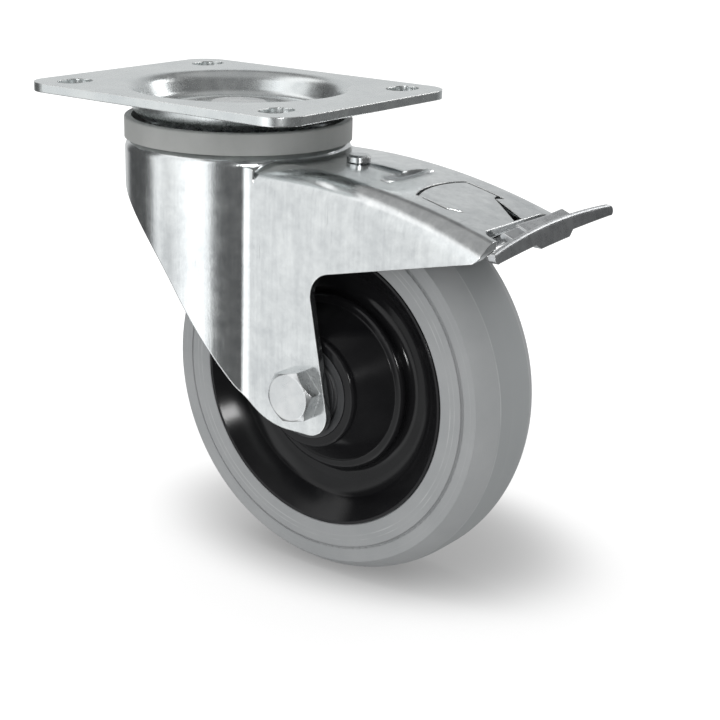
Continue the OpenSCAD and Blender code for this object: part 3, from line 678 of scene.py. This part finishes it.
def addNylonRing():
    # insert of the lock nut, a flat rounded ring in its end face
    deselectAll()
    bpy.ops.mesh.primitive_torus_add(major_radius=nylonRing["radius"], minor_radius=nylonRing["thick"],
                                     major_segments=nylonRing["stepsRound"],
                                     minor_segments=nylonRing["stepsSection"],
                                     location=(castor["axleX"], nylonRing["nutEnd"], castor["axleZ"]),
                                     rotation=(math.pi / 2, 0, 0))
    piece = bpy.context.object
    piece.name = "nutInsert"
    bpy.ops.object.transform_apply(location=False, rotation=True, scale=False)
    bpy.ops.object.mode_set(mode="EDIT")
    bpy.ops.mesh.select_all(action="SELECT")
    bpy.ops.transform.resize(value=(1, nylonRing["proud"] / nylonRing["thick"], 1))
    bpy.ops.object.mode_set(mode="OBJECT")
    settle(piece, "nutNylon")
    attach(piece, "swivel_fork")


addSpring()
addNylonRing()
print("spring and nut insert")

# camera, at the photo's viewing angle: angles in degrees, lens and sensor in millimetres, the rest in metres
camera = {
    "azimuth": 36.21,
    "elevation": 17.57,
    "roll": 1.46,
    "distance": 0.65538,
    "aimX": 0.06398,
    "aimZ": -0.10316,
    "lens": 81.85,
    "sensor": 36,
    "nearest": 0.01,
    "farthest": 20,
}


def addCamera():
    a, e, r = (math.radians(camera[k]) for k in ("azimuth", "elevation", "roll"))
    back = Vector((math.sin(a) * math.cos(e), -math.cos(a) * math.cos(e), math.sin(e)))
    right = Vector((math.cos(a), math.sin(a), 0))
    up = right.cross(-back)
    tiltedRight = right * math.cos(r) + up * math.sin(r)
    tiltedUp = up * math.cos(r) - right * math.sin(r)
    data = bpy.data.cameras.new("photoCamera")
    data.lens = camera["lens"]
    data.sensor_width = camera["sensor"]
    data.clip_start = camera["nearest"]
    data.clip_end = camera["farthest"]
    cam = bpy.data.objects.new("photoCamera", data)
    bpy.context.scene.collection.objects.link(cam)
    spot = Vector((camera["aimX"], 0, camera["aimZ"])) + back * camera["distance"]
    turn = Matrix((tiltedRight, tiltedUp, back)).transposed().to_4x4()
    cam.matrix_world = Matrix.Translation(spot) @ turn
    bpy.context.scene.camera = cam


addCamera()

# the studio round the castor
studio = {
    # turn from the camera's direction in degrees (left is negative) and how bright the studio
    # looks there in a shiny face
    "gloss": [(-180, 0.72), (-150, 0.70), (-136, 0.10), (-104, 0.10), (-95, 0.20), (-87, 1.15),
              (-72, 0.86), (-60, 1.05), (-46, 1.6), (-28, 1.6), (-20, 0.34), (-14, 0.14), (14, 0.12),
              (34, 0.14), (70, 0.14), (112, 0.16), (145, 0.5), (180, 0.72)],
    "glossTint": (0.985, 1.0, 1.005),
    # how high a direction points (1 is straight up) where this ring fades out
    "ringEnds": (0.56, 0.68),
    # brightness above the ring, then straight above, and the heights between which it changes
    "halfWayUp": 0.20,
    "overhead": 0.42,
    "overheadFrom": (0.78, 0.88),
    # brightness high up on the left, and how far left that starts (-1 is level left)
    "overheadLeft": 1.3,
    "leftFrom": (-0.42, -0.56),
    # the soft light, and its share from the left and from the right
    "ambient": 0.90,
    "fromLeft": 1.12,
    "fromRight": 0.78,
}


def background(tree, colour, strength=1.0):
    node = tree.nodes.new("ShaderNodeBackground")
    feed(tree, node.inputs["Color"], colour)
    feed(tree, node.inputs["Strength"], strength)
    return node.outputs[0]


def mixShader(tree, factor, first, second):
    node = tree.nodes.new("ShaderNodeMixShader")
    for socket, value in zip(node.inputs, (factor, first, second)):
        tree.links.new(value, socket)
    return node.outputs[0]


def addWorld():
    world = bpy.data.worlds.new("studio")
    bpy.context.scene.world = world
    world.use_nodes = True
    tree = world.node_tree
    tree.nodes.clear()
    out = tree.nodes.new("ShaderNodeOutputWorld")
    coords = tree.nodes.new("ShaderNodeTexCoord")
    # after this turn the camera looks along +Y, so its own direction is -Y
    turn = (0, 0, math.radians(-camera["azimuth"]))
    axes = axesOf(tree, stretched(tree, coords.outputs["Generated"], (1, 1, 1), turn))
    angle = mathNode(tree, "ARCTAN2", axes["X"], times(tree, axes["Y"], -1.0))
    ramp = tree.nodes.new("ShaderNodeValToRGB")
    ramp.color_ramp.interpolation = "LINEAR"
    tree.links.new(mapRange(tree, angle, -math.pi, math.pi), ramp.inputs[0])
    stops = ramp.color_ramp.elements
    for i, (degrees, level) in enumerate(studio["gloss"]):
        spot = (degrees + 180) / 360
        # a new ramp has two stops of its own
        stop = stops[i] if i < 2 else stops.new(spot)
        stop.position = spot
        stop.color = (*(level * part for part in studio["glossTint"]), 1)
    top = mapRange(tree, axes["Z"], *studio["overheadFrom"], studio["halfWayUp"], studio["overhead"])
    above = mapRange(tree, axes["X"], *studio["leftFrom"], top, studio["overheadLeft"])
    up = mapRange(tree, axes["Z"], *studio["ringEnds"])
    gloss = background(tree, mixColour(tree, up, ramp.outputs["Color"], above))
    side = mapRange(tree, axes["X"], -1.0, 1.0, studio["fromLeft"], studio["fromRight"])
    ambient = background(tree, (1, 1, 1), times(tree, side, studio["ambient"]))
    path = tree.nodes.new("ShaderNodeLightPath")
    seen = mixShader(tree, path.outputs["Is Glossy Ray"], ambient, gloss)
    seen = mixShader(tree, path.outputs["Is Camera Ray"], seen, background(tree, (1, 1, 1)))
    tree.links.new(seen, out.inputs[0])


# a pale floor that runs out to white, with one painted soft shadow under the castor
paintedShadowFloor = {
    "size": 6,
    "colour": (0.26, 0.26, 0.26, 1),
    "rough": 0.9,
    # the painted shadow's middle, its half lengths, how deep it is and how sharply it ends
    "x": 0.051,
    "y": 0.031,
    "halfX": 0.0934,
    "halfY": 0.0649,
    "depth": 0.72,
    "falloff": 5.6,
    # the floor's own light near the shadow, how far out it turns plain white, and its share on the castor
    "ownLight": 0.76,
    "clearFrom": 0.16,
    "clearAt": 0.42,
    "bounce": 0.55,
}


def addFloor():
    deselectAll()
    bpy.ops.mesh.primitive_plane_add(size=paintedShadowFloor["size"],
                                     location=(paintedShadowFloor["x"], paintedShadowFloor["y"], castor["floorZ"]))
    floor = bpy.context.object
    floor.name = "floor"
    floor.visible_glossy = False
    material, tree, shader, where = newMaterial("paleFloorWithPaintedShadow")
    shader["Base Color"].default_value = paintedShadowFloor["colour"]
    shader["Roughness"].default_value = paintedShadowFloor["rough"]
    shader["Specular IOR Level"].default_value = 0.0
    shader["Emission Color"].default_value = (1, 1, 1, 1)
    # painted shadow: the floor's glow is darkened in a soft patch under the castor
    spread = stretched(tree, where, (1 / paintedShadowFloor["halfX"], 1 / paintedShadowFloor["halfY"], 1))
    power = mathNode(tree, "POWER", lengthOf(tree, spread), paintedShadowFloor["falloff"])
    dark = mathNode(tree, "EXPONENT", times(tree, power, -1.0))
    light = mathNode(tree, "SUBTRACT", 1.0, times(tree, dark, paintedShadowFloor["depth"]))
    level = mapRange(tree, lengthOf(tree, where), paintedShadowFloor["clearFrom"], paintedShadowFloor["clearAt"],
                     paintedShadowFloor["ownLight"], 1.0)
    path = tree.nodes.new("ShaderNodeLightPath")
    shown = mapRange(tree, path.outputs["Is Camera Ray"], 0.0, 1.0, paintedShadowFloor["bounce"], 1.0)
    light = times(tree, light, level)
    tree.links.new(times(tree, light, shown), shader["Emission Strength"])
    floor.data.materials.append(material)


# a wide soft lamp that no shiny face shows, a small one for glints alone, and one from behind
lampAim = (0.06, 0, -0.1)
lamps = {
    "keyLamp": {
        "power": 5.6, "size": 0.9, "place": (-0.30, -0.05, 0.85), "mirrored": False, "lights": True,
    },
    "glintLamp": {
        "power": 1.6, "size": 0.12, "place": (0.63, -0.51, 0.13), "mirrored": True, "lights": False,
    },
    "backLamp": {
        "power": 1.2, "size": 0.35, "place": (0.38, 0.80, 0.48), "mirrored": True, "lights": True,
    },
}


def addLamp(name, values):
    data = bpy.data.lights.new(name, "AREA")
    data.energy = values["power"]
    data.size = values["size"]
    lamp = bpy.data.objects.new(name, data)
    bpy.context.scene.collection.objects.link(lamp)
    lamp.location = values["place"]
    lamp.rotation_euler = (Vector(lampAim) - Vector(values["place"])).to_track_quat("-Z", "Y").to_euler()
    lamp.visible_glossy = values["mirrored"]
    lamp.visible_diffuse = values["lights"]


addWorld()
addFloor()
for lampName, lampValues in lamps.items():
    addLamp(lampName, lampValues)
bpy.context.scene.view_settings.view_transform = "Standard"
print("camera, studio and floor")
